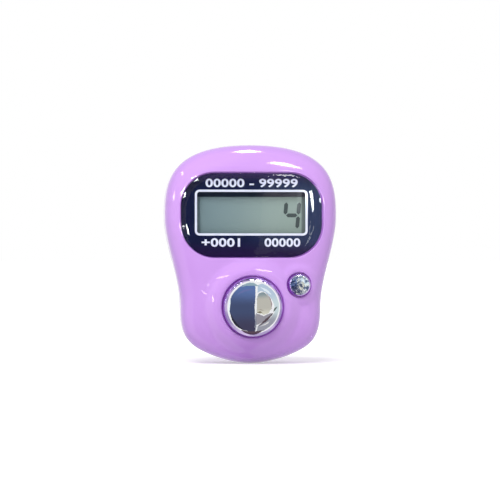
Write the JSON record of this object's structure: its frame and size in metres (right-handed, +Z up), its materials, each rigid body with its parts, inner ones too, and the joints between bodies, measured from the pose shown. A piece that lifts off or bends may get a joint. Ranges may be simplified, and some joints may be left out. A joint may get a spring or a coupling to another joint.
{
  "type": "digital finger counter",
  "caption": "Palm-shaped push-button counter with a crowned display window and a domed count button, worn on a finger by a soft strap through a saddle on its back.",
  "frame": {"origin": "middle of the finger loop, halfway between the saddle on the back and the far side of the strap", "axes": "-Y out of the display face, +Z up the face towards the window and along the finger that wears it, +X to the right of someone who faces the display"},
  "size_m": [0.027, 0.0409, 0.0342],
  "materials": {
    "lilac_plastic": "glossy lilac",
    "clear_plastic": "clear, polished",
    "black_print": "printed dark blue-black",
    "display_film": "grey-green",
    "glass": "clear",
    "grey_rubber": "translucent grey silicone",
    "white_foam": "closed-cell foam",
    "circuit_board": "green resist",
    "black_resin": "black resin",
    "ceramic": "fired ceramic",
    "chrome": "bright plating",
    "black_rubber": "carbon-filled",
    "steel": "bare",
    "lilac_rubber": "satin lilac"
  },
  "bodies": {
    "housing": {"front_cover": "lilac_plastic", "rear_cover": "lilac_plastic", "display_lens": "clear_plastic", "printed_film": "black_print", "front_polarizer": "display_film", "front_glass": "glass", "rear_glass": "glass", "reflector_film": "display_film", "zebra_connector": "grey_rubber", "display_foam_pad": "white_foam", "circuit_board": "circuit_board", "chip_resin_blob": "black_resin", "chip_resistor": "black_resin", "chip_capacitor": "ceramic", "count_rubber_key": "grey_rubber", "reset_rubber_key": "grey_rubber", "button_cell": "steel", "positive_contact": "steel", "negative_contact": "steel", "case_screw_1": "steel", "case_screw_2": "steel", "case_screw_3": "steel", "board_screw_1": "steel", "board_screw_2": "steel", "board_screw_3": "steel", "board_screw_4": "steel", "finger_strap": "lilac_rubber"},
    "count_button": {"count_button": "chrome", "count_contact_pill": "black_rubber"},
    "reset_button": {"reset_button": "chrome", "reset_contact_pill": "black_rubber"}
  },
  "joints": [
    {"name": "count_press", "type": "slide", "parent": "housing", "child": "count_button", "axis": [0, 1, 0], "range_m": [0, 0.0008], "stiffness_N_per_m": 800, "springref_m": -0.0004, "deforming": ["count_rubber_key"]},
    {"name": "reset_press", "type": "slide", "parent": "housing", "child": "reset_button", "axis": [0, 1, 0], "range_m": [0, 0.0006], "stiffness_N_per_m": 800, "springref_m": -0.0004, "deforming": ["reset_rubber_key"]}
  ]
}
